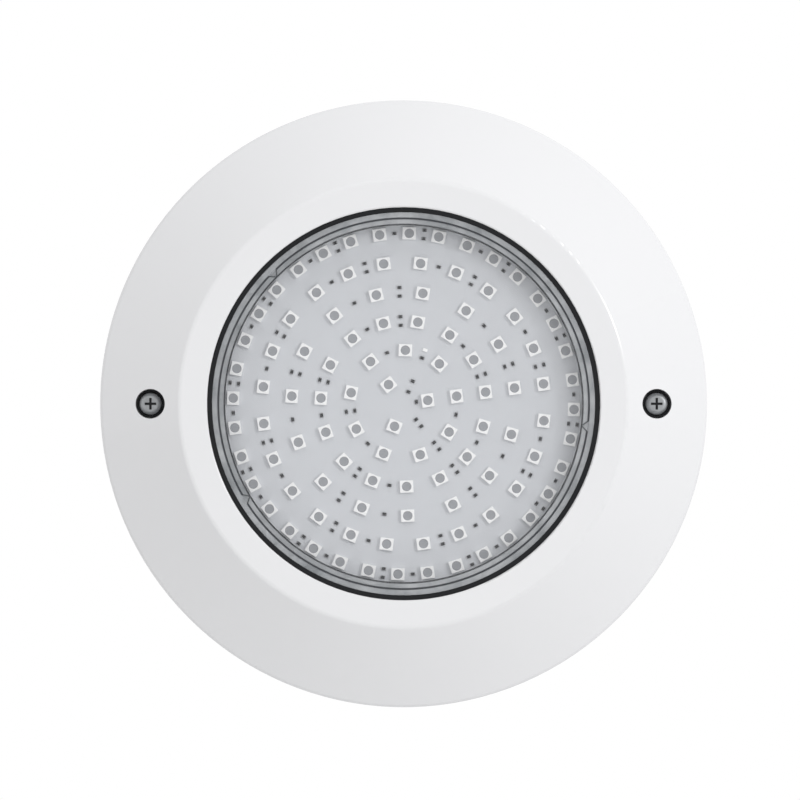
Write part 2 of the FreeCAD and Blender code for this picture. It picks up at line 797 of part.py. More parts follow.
def make_components():
    """The parts soldered to the driver board."""
    low = "(driver_bottom + component_inset)"
    high = "(driver_bottom + driver_height - component_inset)"
    rectifiers = [
        box(f"rectifier_{n}", "rectifier_width", "rectifier_height", "rectifier_rise", DRIVER_FRONT, x, low)
        for n, x in both_sides("rectifier_place")
    ]
    keep(combine("Part::Compound", "bridge_rectifiers", rectifiers))
    chips = [
        box(f"chip_{n}", "chip_width", "chip_height", "chip_rise", DRIVER_FRONT, x, high)
        for n, x in both_sides("chip_place")
    ]
    keep(combine("Part::Compound", "driver_chips", chips))
    coils = []
    base_rise = "(component_height - coil_top_rise)"
    top_depth = f"{DRIVER_FRONT} + {base_rise}"
    for n, x in both_sides("coil_place"):
        base = box(f"coil_base_{n}", "coil_side", "coil_side", base_rise, DRIVER_FRONT, x, high)
        top = cylinder(f"coil_top_{n}", "coil_top_radius", "coil_top_rise", top_depth, x, high)
        coils.append(combine("Part::MultiFuse", f"coil_{n}", [base, top]))
    keep(combine("Part::Compound", "inductors", coils))
    cans = []
    for row, sign in (("inner", "-"), ("outer", "+")):
        place = f"(can_place {sign} can_spacing / 2)"
        for n, x in both_sides(place):
            name = f"{row}_can_{n}"
            cans.append(cylinder(name, "can_radius", "component_height", DRIVER_FRONT, x, DRIVER_Z))
    keep(combine("Part::Compound", "capacitors", cans))
    keep(box("fuse", "fuse_length", "fuse_side", "fuse_side", DRIVER_FRONT, "0", DRIVER_Z))


def make_terminal_block():
    """The block where the leads are clamped, with a screw well over each."""
    z = "driver_bottom + terminal_depth / 2"
    block = box("terminal_box", "terminal_width", "terminal_depth", "component_height", DRIVER_FRONT, "0", z)
    well_floor = f"{DRIVER_FRONT} + component_height - terminal_well_depth"
    wells = [
        cylinder(f"well_{n}", "terminal_well_radius", "terminal_well_depth", well_floor, x, z)
        for n, x in both_sides("lead_spacing / 2")
    ]
    keep(cut("terminal_block", block, combine("Part::MultiFuse", "wells", wells)))


def make_lead(name, x):
    """A wire that leaves the terminal block, bends forward and ends on the LED board's back."""
    run = doc.addObject("Part::Cylinder", f"{name}_run")
    run.setExpression("Radius", bound("lead_radius"))
    run.setExpression("Height", bound(f"driver_bottom - {LEAD_Z} - lead_bend"))
    run.setExpression("Placement.Base.x", bound(x))
    run.setExpression("Placement.Base.y", bound(f"-{LEAD_DEPTH}"))
    run.setExpression("Placement.Base.z", bound(f"{LEAD_Z} + lead_bend"))
    bend = doc.addObject("Part::Torus", f"{name}_bend")
    bend.Angle3 = 90
    bend.Placement.Rotation = FreeCAD.Rotation(
        FreeCAD.Vector(0, 1, 0), FreeCAD.Vector(0, 0, -1), FreeCAD.Vector(-1, 0, 0)
    )
    bend.setExpression("Radius1", bound("lead_bend"))
    bend.setExpression("Radius2", bound("lead_radius"))
    bend.setExpression("Placement.Base.x", bound(x))
    bend.setExpression("Placement.Base.y", bound(f"-({LEAD_DEPTH} + lead_bend)"))
    bend.setExpression("Placement.Base.z", bound(f"{LEAD_Z} + lead_bend"))
    rise_depth = f"({LEAD_DEPTH} + lead_bend)"
    rise = cylinder(f"{name}_rise", "lead_radius", f"{SPREADER_FRONT} - {rise_depth}", rise_depth, x, LEAD_Z)
    keep(combine("Part::MultiFuse", name, [run, bend, rise]))


# ---- cable gland -------------------------------------------------------------------------

GLAND_END = "(housing_back_depth - gland_flange_thickness - gland_outside_length)"
GLAND_FLANGE_BACK = "(housing_back_depth - gland_flange_thickness)"


def make_gland():
    """The cable gland: body, O-ring, lock nut inside, rubber sleeve and clamp nut behind."""
    body = keep(new_body("gland_body"))
    sketch = new_sketch(body, "gland_flange_outline", "XZ_Plane", GLAND_FLANGE_BACK)
    draw_outline(sketch, hexagon("gland_flange_flats"))
    draw_circle(sketch, "0", "0", "(gland_thread_radius + seal_pocket_radius) / 2")
    pad(body, sketch, "gland_flange_thickness", "gland_flange")
    pocket_floor = f"({GLAND_END} + seal_pocket_depth)"
    turn_outline(
        body,
        "gland_tube",
        [
            ("gland_bore_radius", f"{HOUSING_FLOOR} + gland_inside_length"),
            ("gland_thread_radius", f"{HOUSING_FLOOR} + gland_inside_length"),
            ("gland_thread_radius", GLAND_END),
            ("seal_pocket_radius", GLAND_END),
            ("seal_pocket_radius", pocket_floor),
            ("gland_bore_radius", pocket_floor),
        ],
    )
    groove_outer = "(gland_thread_radius + gland_ring_section + 2 * fit_gap)"
    turn_outline(
        body,
        "gland_groove",
        [
            ("gland_thread_radius", "housing_back_depth"),
            (groove_outer, "housing_back_depth"),
            (groove_outer, "housing_back_depth - gland_ring_section"),
            ("gland_thread_radius", "housing_back_depth - gland_ring_section"),
        ],
        kind="PartDesign::Groove",
    )
    ring = keep(doc.addObject("Part::Torus", "gland_oring"))
    ring.Label = "gland_oring"
    ring.Placement.Rotation = FreeCAD.Rotation(FreeCAD.Vector(1, 0, 0), 90)
    ring.setExpression("Radius1", bound("gland_thread_radius + fit_gap + gland_ring_section / 2"))
    ring.setExpression("Radius2", bound("gland_ring_section / 2"))
    ring.setExpression("Placement.Base.y", bound("-(housing_back_depth - gland_ring_section / 2)"))
    locknut = keep(new_body("gland_locknut"))
    sketch = new_sketch(locknut, "locknut_outline", "XZ_Plane", HOUSING_FLOOR)
    draw_outline(sketch, hexagon("locknut_flats"))
    draw_circle(sketch, "0", "0", "gland_thread_radius + fit_gap")
    pad(locknut, sketch, "locknut_thickness", "locknut")
    sleeve = keep(new_body("gland_sleeve"))
    turn_outline(
        sleeve,
        "sleeve",
        [
            ("cable_radius", GLAND_END),
            ("seal_pocket_radius - fit_gap", GLAND_END),
            ("seal_pocket_radius - fit_gap", pocket_floor),
            ("cable_radius", pocket_floor),
        ],
    )
    nut = keep(new_body("gland_clamp_nut"))
    sketch = new_sketch(nut, "clamp_nut_outline", "XZ_Plane", f"{GLAND_END} - clamp_nut_tail")
    draw_outline(sketch, hexagon("clamp_nut_flats"))
    draw_circle(sketch, "0", "0", "gland_bore_radius")
    nut_front = f"({GLAND_FLANGE_BACK} - clamp_nut_gap)"
    pad(nut, sketch, f"{nut_front} - {GLAND_END} + clamp_nut_tail", "clamp_nut")
    sketch = new_sketch(nut, "clamp_thread_outline", "XZ_Plane", nut_front)
    draw_circle(sketch, "0", "0", "gland_thread_radius + fit_gap")
    pocket(nut, sketch, f"{nut_front} - {GLAND_END}", "clamp_thread")


# ---- face screws -------------------------------------------------------------------------


def make_face_screw(side, x):
    """One pan-head screw with a cross recess, and the black sealing washer under its head."""
    washer = keep(new_body(f"{side}_washer"))
    washer_radius = "(recess_radius - washer_gap)"
    collar_top = f"({SCREW_SEAT} + washer_collar)"
    turn_outline(
        washer,
        f"{side}_washer_ring",
        [
            ("screw_shank_radius + fit_gap", "recess_floor_depth"),
            (washer_radius, "recess_floor_depth"),
            (washer_radius, collar_top),
            ("screw_head_radius + collar_gap", collar_top),
            ("screw_head_radius + collar_gap", SCREW_SEAT),
            ("screw_shank_radius + fit_gap", SCREW_SEAT),
        ],
    )
    screw = keep(new_body(f"{side}_screw"))
    head_top = f"({SCREW_SEAT} + screw_head_height)"
    tip = f"({SCREW_SEAT} - screw_length)"
    whole = turn_outline(
        screw,
        f"{side}_screw_turned",
        [
            ("0", tip),
            ("screw_shank_radius - screw_tip_bevel", tip),
            ("screw_shank_radius", f"{tip} + screw_tip_bevel"),
            ("screw_shank_radius", SCREW_SEAT),
            ("screw_head_radius", SCREW_SEAT),
            ("screw_head_radius", head_top),
            ("0", head_top),
        ],
    )
    round_edges(screw, whole, [("screw_head_radius", head_top)], "screw_head_fillet", f"{side}_pan")
    sketch = new_sketch(screw, f"{side}_cross_outline", "XZ_Plane", head_top)
    arm, half = "cross_span / 2", "cross_width / 2"
    draw_outline(
        sketch,
        [
            (arm, f"-{half}"),
            (arm, half),
            (half, half),
            (half, arm),
            (f"-{half}", arm),
            (f"-{half}", half),
            (f"-{arm}", half),
            (f"-{arm}", f"-{half}"),
            (f"-{half}", f"-{half}"),
            (f"-{half}", f"-{arm}"),
            (half, f"-{arm}"),
            (half, f"-{half}"),
        ],
    )
    pocket(screw, sketch, "cross_depth", f"{side}_cross")
    for body in (washer, screw):
        body.setExpression("Placement.Base.x", bound(x))


# ---- wall plate --------------------------------------------------------------------------


def make_wall_plate():
    """The plate that is fixed to the pool wall, with a boss and a brass insert for each screw."""
    plate = keep(new_body("wall_plate"))
    turn_outline(
        plate,
        "plate",
        [
            ("plate_opening_radius", "0"),
            ("plate_radius", "0"),
            ("plate_radius", "plate_rim_depth"),
            ("plate_radius - plate_rim_width", "plate_rim_depth"),
            ("plate_radius - plate_rim_width", "plate_thickness"),
            ("plate_opening_radius", "plate_thickness"),
        ],
    )
    inserts = keep(new_body("plate_inserts"))
    boss_height = "tower_foot_depth - plate_thickness"
    bosses = new_sketch(plate, "bosses_outline", "XZ_Plane", "plate_thickness")
    pockets = new_sketch(plate, "insert_pockets_outline", "XZ_Plane", "tower_foot_depth")
    holes = new_sketch(plate, "screw_passage_outline", "XZ_Plane", "tower_foot_depth")
    sleeves = new_sketch(inserts, "inserts_outline", "XZ_Plane", "plate_thickness")
    for x in ("-screw_circle", "screw_circle"):
        draw_circle(bosses, x, "0", "insert_radius + insert_wall_round")
        draw_circle(pockets, x, "0", "insert_radius")
        draw_circle(holes, x, "0", "screw_shank_radius + screw_hole_clearance")
        draw_circle(sleeves, x, "0", "insert_radius")
        draw_circle(sleeves, x, "0", "screw_shank_radius + thread_clearance")
    pad(plate, bosses, boss_height, "bosses")
    pocket(plate, pockets, boss_height, "insert_pockets")
    pocket(plate, holes, "tower_foot_depth", "screw_passages")
    sketch = new_sketch(plate, "wall_hole_outline", "XZ_Plane", "plate_thickness", "180 / wall_hole_count")
    draw_circle(sketch, "wall_hole_circle", "0", "wall_hole_radius")
    hole = pocket(plate, sketch, "plate_thickness", "wall_hole")
    holes = repeat_round(plate, [hole], "wall_hole_count", "wall_holes")
    mouths = ("wall_hole_radius", "plate_thickness", "wall_hole_circle")
    round_edges(plate, holes, [mouths], "wall_countersink", "countersinks", "PartDesign::Chamfer")
    pad(inserts, sleeves, boss_height, "inserts")


# ---- the whole lamp ----------------------------------------------------------------------


def check_document():
    """Stop if any object failed, or if a sub-part's shape is missing or not valid."""
    doc.recompute()
    for item in doc.Objects:
        if "Invalid" in item.State or "Error" in item.State:
            raise RuntimeError(f"{item.Name} failed: {item.State}")
    for item in subparts:
        if item.Shape.isNull() or not item.Shape.isValid():
            raise RuntimeError(f"{item.Label} has no valid shape")


make_wall_plate()
make_face_ring()
make_gasket()
make_lens()
make_window_seal()
make_rear_housing()
make_housing_screws()
make_heat_spreader()
make_led_board()
for led_ring in LED_RINGS:
    make_led_ring(led_ring)
make_resistors()
make_marked_chip()
make_driver_board()
make_components()
make_terminal_block()
make_lead("positive_lead", "lead_spacing / 2")
make_lead("negative_lead", "-lead_spacing / 2")
make_gland()
make_face_screw("left", "-screw_circle")
make_face_screw("right", "screw_circle")
check_document()

os.makedirs("parts", exist_ok=True)
for subpart in subparts:
    subpart.Shape.exportStep(f"parts/{subpart.Label}.step")
    print(f"{subpart.Label}: {len(subpart.Shape.Solids)} solids, {subpart.Shape.Volume:.1f} mm3")
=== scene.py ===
# %% [markdown]
# # An underwater pool light, piece by piece
# The lamp is a slim white ring screwed to a wall plate. A clear window in the middle covers a
# round board with six rings of LEDs. The engineering model gives every piece at its real size, so
# this lesson is about finishes, light and the few details that are easier to make here.
# Start by loading the engineering model.

import math

import bpy
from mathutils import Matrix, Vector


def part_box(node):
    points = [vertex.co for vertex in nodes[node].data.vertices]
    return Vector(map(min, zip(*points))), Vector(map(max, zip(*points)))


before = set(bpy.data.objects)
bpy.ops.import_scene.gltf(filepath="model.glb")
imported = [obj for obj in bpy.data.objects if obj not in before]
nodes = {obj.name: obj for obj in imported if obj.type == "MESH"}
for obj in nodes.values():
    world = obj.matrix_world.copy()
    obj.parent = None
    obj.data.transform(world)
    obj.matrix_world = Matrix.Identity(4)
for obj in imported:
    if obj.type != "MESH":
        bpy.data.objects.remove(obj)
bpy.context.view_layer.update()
scene = bpy.context.scene
print(len(nodes), "pieces from the engineering model")

# %% [markdown]
# ## Sizes that the lesson needs
# The lamp faces -Y and its axis is the Y axis, so a distance from the axis is a radius. Every place
# is read from the pieces themselves. A millimetre is a handy unit to think in.

# %% Measure the lamp
MM = 0.001
ring_low, ring_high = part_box("face_ring")
board_low, board_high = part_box("led_board")
FACE_Y = ring_low.y
RING_WIDTH = ring_high.x - ring_low.x
BOARD_RADIUS = board_high.x
print(f"ring {RING_WIDTH / MM:.1f} mm across, board radius {BOARD_RADIUS / MM:.1f} mm")

# %% [markdown]
# ## The camera
# The lamp is seen straight from the front through a long lens, which keeps the circle round. The
# ring fills about three quarters of the picture. A tiny shift puts it a little right of the
# middle and a little low.

# %% Place the camera
LENS_LENGTH = 500
SENSOR_WIDTH = 36
RING_SHARE = 0.7575

camera_data = bpy.data.cameras.new("camera")
camera_data.lens = LENS_LENGTH
camera_data.sensor_width = SENSOR_WIDTH
camera_data.shift_x = -0.0045
camera_data.shift_y = 0.0047
camera = bpy.data.objects.new("camera", camera_data)
scene.collection.objects.link(camera)
camera_distance = RING_WIDTH / RING_SHARE * LENS_LENGTH / SENSOR_WIDTH
camera.location = (0, ring_high.y - camera_distance, 0)
camera.rotation_euler = (math.radians(90), 0, 0)
scene.camera = camera
print(f"camera {camera_distance:.2f} m in front of the wall")


# %% [markdown]
# ## Helpers for node trees
# A material in Blender is a small graph. These helpers keep each graph short: one makes a node and
# sets its values, one joins sockets, and one starts a material with the usual Principled shader.

# %% Node helpers
def add_node(tree, kind, label, **values):
    """Add a node, name it and set its properties or input values."""
    node = tree.nodes.new(kind)
    node.name = node.label = label
    for name, value in values.items():
        if name in node.bl_rna.properties:
            setattr(node, name, value)
        else:
            node.inputs[name.replace("_", " ")].default_value = value
    return node


def math_node(tree, operation, first, second=None, third=None, clamp=False):
    """Add a Math node; each input is a number or a socket. The result is its output socket."""
    node = tree.nodes.new("ShaderNodeMath")
    node.operation = operation
    node.use_clamp = clamp
    for index, value in enumerate((first, second, third)):
        if value is None:
            continue
        if isinstance(value, (int, float)):
            node.inputs[index].default_value = value
        else:
            tree.links.new(value, node.inputs[index])
    return node.outputs[0]


def mix_colors(tree, amount, first, second):
    """Blend two colours by an amount; each is a socket or an (r, g, b) tuple."""
    node = tree.nodes.new("ShaderNodeMix")
    node.data_type = "RGBA"
    for value, socket in ((amount, node.inputs[0]), (first, node.inputs[6]), (second, node.inputs[7])):
        if isinstance(value, bpy.types.NodeSocket):
            tree.links.new(value, socket)
        elif isinstance(value, tuple):
            socket.default_value = (*value, 1)
        else:
            socket.default_value = value
    return node.outputs[2]


def new_material(name, **values):
    """Start a material and set constant values on its Principled shader."""
    material = bpy.data.materials.new(name)
    material.use_nodes = True
    shader = material.node_tree.nodes["Principled BSDF"]
    for socket, value in values.items():
        shader.inputs[socket.replace("_", " ")].default_value = value
    return material, material.node_tree, shader


def dress(material, *names):
    """Give a material to CAD pieces by name."""
    for name in names:
        mesh = nodes[name].data
        mesh.materials.clear()
        mesh.materials.append(material)


def smooth(*names, angle=30):
    """Shade pieces smoothly, but keep edges sharper than an angle crisp."""
    for name in names:
        piece = nodes[name]
        with bpy.context.temp_override(object=piece, active_object=piece, selected_objects=[piece]):
            bpy.ops.object.shade_smooth_by_angle(angle=math.radians(angle))


# %% [markdown]
# ## Shared effects
# Moulded plastic is never a perfect mirror. It has a faint waviness from the mould, a very fine
# grain, and places that are a little duller. The same effect suits the ring, the plate and the
# rubber, each with its own numbers, so it is a node group. It gives out a colour, a roughness
# and a height, and the shader stays in each material.

# %% Group: moulded skin
def add_socket(tree, name, kind, direction, value=None):
    """Add a socket to a node group's interface."""
    made = tree.interface.new_socket(name=name, in_out=direction, socket_type=f"NodeSocket{kind}")
    if value is not None:
        made.default_value = value


def make_skin_group():
    """Waviness, grain and dull patches of a moulded surface."""
    tree = bpy.data.node_groups.new("moulded_skin", "ShaderNodeTree")
    add_socket(tree, "Color", "Color", "INPUT", (0.8, 0.8, 0.8, 1))
    add_socket(tree, "Tint", "Color", "INPUT", (0.75, 0.75, 0.75, 1))
    add_socket(tree, "Tint Amount", "Float", "INPUT", 0.2)
    add_socket(tree, "Roughness", "Float", "INPUT", 0.3)
    add_socket(tree, "Roughness Spread", "Float", "INPUT", 0.05)
    add_socket(tree, "Wave Scale", "Float", "INPUT", 25.0)
    add_socket(tree, "Grain Scale", "Float", "INPUT", 900.0)
    add_socket(tree, "Grain Share", "Float", "INPUT", 0.3)
    add_socket(tree, "Color", "Color", "OUTPUT")
    add_socket(tree, "Roughness", "Float", "OUTPUT")
    add_socket(tree, "Height", "Float", "OUTPUT")
    inputs = add_node(tree, "NodeGroupInput", "inputs")
    outputs = add_node(tree, "NodeGroupOutput", "outputs")
    place = add_node(tree, "ShaderNodeTexCoord", "place").outputs["Object"]
    wave = add_node(tree, "ShaderNodeTexNoise", "waviness", Detail=2.0)
    grain = add_node(tree, "ShaderNodeTexNoise", "grain", Detail=3.0)
    tree.links.new(place, wave.inputs["Vector"])
    tree.links.new(place, grain.inputs["Vector"])
    tree.links.new(inputs.outputs["Wave Scale"], wave.inputs["Scale"])
    tree.links.new(inputs.outputs["Grain Scale"], grain.inputs["Scale"])
    patches = math_node(tree, "SUBTRACT", wave.outputs["Fac"], 0.5)
    tint = math_node(tree, "MULTIPLY_ADD", patches, 1.6, 0.5, clamp=True)
    amount = math_node(tree, "MULTIPLY", tint, inputs.outputs["Tint Amount"])
    color = mix_colors(tree, amount, inputs.outputs["Color"], inputs.outputs["Tint"])
    tree.links.new(color, outputs.inputs["Color"])
    spread = math_node(tree, "MULTIPLY", patches, inputs.outputs["Roughness Spread"])
    tree.links.new(math_node(tree, "ADD", inputs.outputs["Roughness"], spread), outputs.inputs["Roughness"])
    fine = math_node(tree, "MULTIPLY", grain.outputs["Fac"], inputs.outputs["Grain Share"])
    tree.links.new(math_node(tree, "ADD", wave.outputs["Fac"], fine), outputs.inputs["Height"])
    return tree


SKIN = make_skin_group()
print("group", SKIN.name)

# %% [markdown]
# Turned and rolled metal carries fine lines. On a screw head they run round its own axis. The
# group measures the distance from a centre and looks up noise along that distance, so
# the lines come out as circles.

# %% Group: turned lines
def make_turned_group():
    """Fine circular lines about an axis that runs along Y through a centre."""
    tree = bpy.data.node_groups.new("turned_lines", "ShaderNodeTree")
    add_socket(tree, "Centre", "Vector", "INPUT")
    add_socket(tree, "Line Scale", "Float", "INPUT", 2500.0)
    add_socket(tree, "Color", "Color", "INPUT", (0.5, 0.5, 0.5, 1))
    add_socket(tree, "Line Color", "Color", "INPUT", (0.35, 0.35, 0.35, 1))
    add_socket(tree, "Roughness", "Float", "INPUT", 0.35)
    add_socket(tree, "Color", "Color", "OUTPUT")
    add_socket(tree, "Roughness", "Float", "OUTPUT")
    add_socket(tree, "Height", "Float", "OUTPUT")
    inputs = add_node(tree, "NodeGroupInput", "inputs")
    outputs = add_node(tree, "NodeGroupOutput", "outputs")
    place = add_node(tree, "ShaderNodeTexCoord", "place").outputs["Object"]
    offset = add_node(tree, "ShaderNodeVectorMath", "from_centre", operation="SUBTRACT")
    tree.links.new(place, offset.inputs[0])
    tree.links.new(inputs.outputs["Centre"], offset.inputs[1])
    parts = add_node(tree, "ShaderNodeSeparateXYZ", "parts")
    tree.links.new(offset.outputs[0], parts.inputs[0])
    across = math_node(tree, "MULTIPLY", parts.outputs["X"], parts.outputs["X"])
    squared = math_node(tree, "MULTIPLY_ADD", parts.outputs["Z"], parts.outputs["Z"], across)
    radius = math_node(tree, "SQRT", squared)
    lookup = add_node(tree, "ShaderNodeCombineXYZ", "lookup")
    tree.links.new(radius, lookup.inputs["X"])
    tree.links.new(parts.outputs["Y"], lookup.inputs["Y"])
    lines = add_node(tree, "ShaderNodeTexNoise", "lines", Detail=4.0, Roughness=0.7)
    tree.links.new(lookup.outputs[0], lines.inputs["Vector"])
    tree.links.new(inputs.outputs["Line Scale"], lines.inputs["Scale"])
    stains = add_node(tree, "ShaderNodeTexNoise", "stains", Scale=450.0, Detail=3.0)
    tree.links.new(place, stains.inputs["Vector"])
    amount = math_node(tree, "MULTIPLY_ADD", lines.outputs["Fac"], 0.6, 0.1)
    amount = math_node(tree, "MULTIPLY_ADD", stains.outputs["Fac"], 0.5, amount, clamp=True)
    color = mix_colors(tree, amount, inputs.outputs["Color"], inputs.outputs["Line Color"])
    tree.links.new(color, outputs.inputs["Color"])
    rough = math_node(tree, "MULTIPLY_ADD", stains.outputs["Fac"], 0.2, inputs.outputs["Roughness"])
    tree.links.new(rough, outputs.inputs["Roughness"])
    tree.links.new(lines.outputs["Fac"], outputs.inputs["Height"])
    return tree


TURNED = make_turned_group()
print("group", TURNED.name)


# %% [markdown]
# A material takes a group's colour and roughness, and its height goes through a Bump node. One
# function does this for both groups.

# %% Use a group in a material
def grouped_material(name, group, bump, distance, settings, **values):
    """A material whose colour, roughness and bump come from a shared group."""
    material, tree, shader = new_material(name, **values)
    effect = add_node(tree, "ShaderNodeGroup", group.name)
    effect.node_tree = group
    for name_of_input, value in settings.items():
        effect.inputs[name_of_input].default_value = value
    relief = add_node(tree, "ShaderNodeBump", "relief", Strength=bump, Distance=distance)
    tree.links.new(effect.outputs["Height"], relief.inputs["Height"])
    tree.links.new(effect.outputs["Color"], shader.inputs["Base Color"])
    tree.links.new(effect.outputs["Roughness"], shader.inputs["Roughness"])
    tree.links.new(relief.outputs["Normal"], shader.inputs["Normal"])
    return material


def skin_material(name, color, tint, roughness, bump=0.1, distance=0.00005, **settings):
    """A moulded surface: colours as (r, g, b), other settings by the group's input names."""
    given = {"Color": (*color, 1), "Tint": (*tint, 1), "Roughness": roughness}
    given.update({key.replace("_", " "): value for key, value in settings.items()})
    return grouped_material(name, SKIN, bump, distance, given)


# %% [markdown]
# ## The white ring
# The ring is glossy moulded plastic. Its mould was polished, so the waviness is very slight and
# the surface has a low roughness. The white is kept under full white so that the light can
# still shade it.

# %% Finish the ring
ring_white = skin_material(
    "ring_white", (0.83, 0.832, 0.845), (0.8, 0.805, 0.82), 0.16, bump=0.04, Tint_Amount=0.35,
    Roughness_Spread=0.05, Wave_Scale=14.0, Grain_Scale=1400.0, Grain_Share=0.08,
)
dress(ring_white, "face_ring")
smooth("face_ring")
print("ring dressed")

# %% [markdown]
# ## The rubber gasket and washers
# Rubber is nearly black with a soft sheen, and its skin is finely grained.

# %% Finish the rubber
rubber = skin_material(
    "black_rubber", (0.009, 0.0095, 0.011), (0.016, 0.017, 0.019), 0.6, bump=0.3, Tint_Amount=0.6,
    Roughness_Spread=0.2, Wave_Scale=160.0, Grain_Scale=2500.0, Grain_Share=0.8,
)
rubber.node_tree.nodes["Principled BSDF"].inputs["Specular IOR Level"].default_value = 0.2
RUBBER_PIECES = ("window_gasket", "window_seal", "gland_oring", "gland_sleeve", "left_washer", "right_washer")
dress(rubber, *RUBBER_PIECES)
smooth(*RUBBER_PIECES)
print(len(RUBBER_PIECES), "rubber pieces")

# %% [markdown]
# ## The clear window
# The window is clear plastic about three millimetres thick. Real refraction would need many
# samples to let the lamps reach the board, so the window is made by Alpha: almost nothing in the
# middle, more on the stepped rim, and most in the two fine grooves. The rim carries painted streaky
# reflections, and the grooves and notch edges are painted dark, a painted shade for the light that
# the clear plastic bends away. The amount depends on the distance from the lamp's axis.

# %% Finish the window
SKIRT_OUTER = 75.95 * MM
SKIRT_INNER = 73.45 * MM
LINE_HALF_WIDTH = 0.3 * MM
NOTCH_HALF_WIDTH = 2.2 * MM
NOTCH_ANGLES = (135, 211, 353)


def radius_from(tree, centre=(0, 0, 0)):
    """Distance from an axis along Y through a centre, and the position along that axis."""
    place = add_node(tree, "ShaderNodeTexCoord", "place").outputs["Object"]
    offset = add_node(tree, "ShaderNodeVectorMath", "from_centre", operation="SUBTRACT")
    offset.inputs[1].default_value = (centre[0], 0, centre[2])
    tree.links.new(place, offset.inputs[0])
    parts = add_node(tree, "ShaderNodeSeparateXYZ", "parts")
    tree.links.new(offset.outputs[0], parts.inputs[0])
    across = math_node(tree, "MULTIPLY", parts.outputs["X"], parts.outputs["X"])
    squared = math_node(tree, "MULTIPLY_ADD", parts.outputs["Z"], parts.outputs["Z"], across)
    return math_node(tree, "SQRT", squared), parts.outputs["Y"]


def line(tree, distance, half_width):
    """1 where a distance is near zero, fading to 0 at twice the half width."""
    away = math_node(tree, "DIVIDE", math_node(tree, "ABSOLUTE", distance), half_width)
    return math_node(tree, "SUBTRACT", 2.0, away, clamp=True)


def notch(tree, angle):
    """The two dark lines of one V notch, painted shade along its edges, and the width of the groove that it
    interrupts.
    """
    place = add_node(tree, "ShaderNodeTexCoord", "place").outputs["Object"]
    turn = math.radians(angle)
    parts = []
    for axis in ((math.cos(turn), 0, math.sin(turn)), (-math.sin(turn), 0, math.cos(turn))):
        along = add_node(tree, "ShaderNodeVectorMath", "along", operation="DOT_PRODUCT")
        along.inputs[1].default_value = axis
        tree.links.new(place, along.inputs[0])
        parts.append(along.outputs["Value"])
    outward, sideways = parts[0], math_node(tree, "ABSOLUTE", parts[1])
    slope = (SKIRT_OUTER - SKIRT_INNER) / NOTCH_HALF_WIDTH
    edge = math_node(tree, "MULTIPLY_ADD", sideways, slope, SKIRT_INNER)
    here = math_node(tree, "LESS_THAN", sideways, NOTCH_HALF_WIDTH)
    here = math_node(tree, "MULTIPLY", here, math_node(tree, "GREATER_THAN", outward, 0.0))
    lines = line(tree, math_node(tree, "SUBTRACT", outward, edge), LINE_HALF_WIDTH)
    return math_node(tree, "MULTIPLY", lines, here), here


def make_window_material():
    """Clear plastic, nearly invisible in the middle, greyer at the rim with painted streaky reflections, and
    with painted shade lines in the grooves and notch edges.
    """
    material, tree, shader = new_material("clear_window", Roughness=0.08, IOR=1.5)
    radius = radius_from(tree)[0]
    rim = math_node(tree, "SUBTRACT", radius, SKIRT_INNER)
    rim = math_node(tree, "DIVIDE", rim, LINE_HALF_WIDTH, clamp=True)
    inner = line(tree, math_node(tree, "SUBTRACT", radius, SKIRT_INNER), LINE_HALF_WIDTH * 0.8)
    outer = line(tree, math_node(tree, "SUBTRACT", radius, SKIRT_OUTER), LINE_HALF_WIDTH)
    for angle in NOTCH_ANGLES:
        lines, here = notch(tree, angle)
        clear = math_node(tree, "SUBTRACT", 1.0, here)
        outer = math_node(tree, "MAXIMUM", math_node(tree, "MULTIPLY", outer, clear), lines)
    grooves = math_node(tree, "MAXIMUM", inner, outer)
    place = add_node(tree, "ShaderNodeTexCoord", "place").outputs["Object"]
    # Painted reflection: noise streaks in the rim's colour stand in for reflections along the rim.
    streaks = add_node(tree, "ShaderNodeTexNoise", "streaks", Scale=110.0, Detail=3.0)
    tree.links.new(place, streaks.inputs["Vector"])
    streak = math_node(tree, "MULTIPLY_ADD", streaks.outputs["Fac"], 2.6, -0.8, clamp=True)
    rim_reflection_tone = mix_colors(tree, streak, (0.46, 0.485, 0.51), (0.78, 0.8, 0.83))
    color = mix_colors(tree, rim, (0.8, 0.82, 0.85), rim_reflection_tone)
    # Painted shade: the grooves and notch edges are painted nearly black, in place of the light the clear
    # plastic bends away.
    color = mix_colors(tree, grooves, color, (0.1, 0.105, 0.115))
    tree.links.new(color, shader.inputs["Base Color"])
    alpha = math_node(tree, "MULTIPLY_ADD", rim, 0.42, 0.03)
    alpha = math_node(tree, "MULTIPLY_ADD", grooves, 0.35, alpha, clamp=True)
    tree.links.new(alpha, shader.inputs["Alpha"])
    return material


dress(make_window_material(), "window_lens")
smooth("window_lens")
print("window dressed")

# %% [markdown]
# ## The LED board
# The board is aluminium under a pale grey solder mask. A mask has a satin skin, and the copper
# under it shows as faint variations.

# %% Finish the board
board_grey = skin_material(
    "board_grey", (0.62, 0.635, 0.665), (0.57, 0.585, 0.61), 0.45, bump=0.04, Tint_Amount=0.4,
    Roughness_Spread=0.1, Wave_Scale=45.0, Grain_Scale=900.0, Grain_Share=0.1,
)
dress(board_grey, "led_board")
print("board dressed")

# %% [markdown]
# ## LEDs and resistors
# An LED package is a white reflective frame with a clear grey resin window. The chip resistors are
# black ceramic with tinned ends.

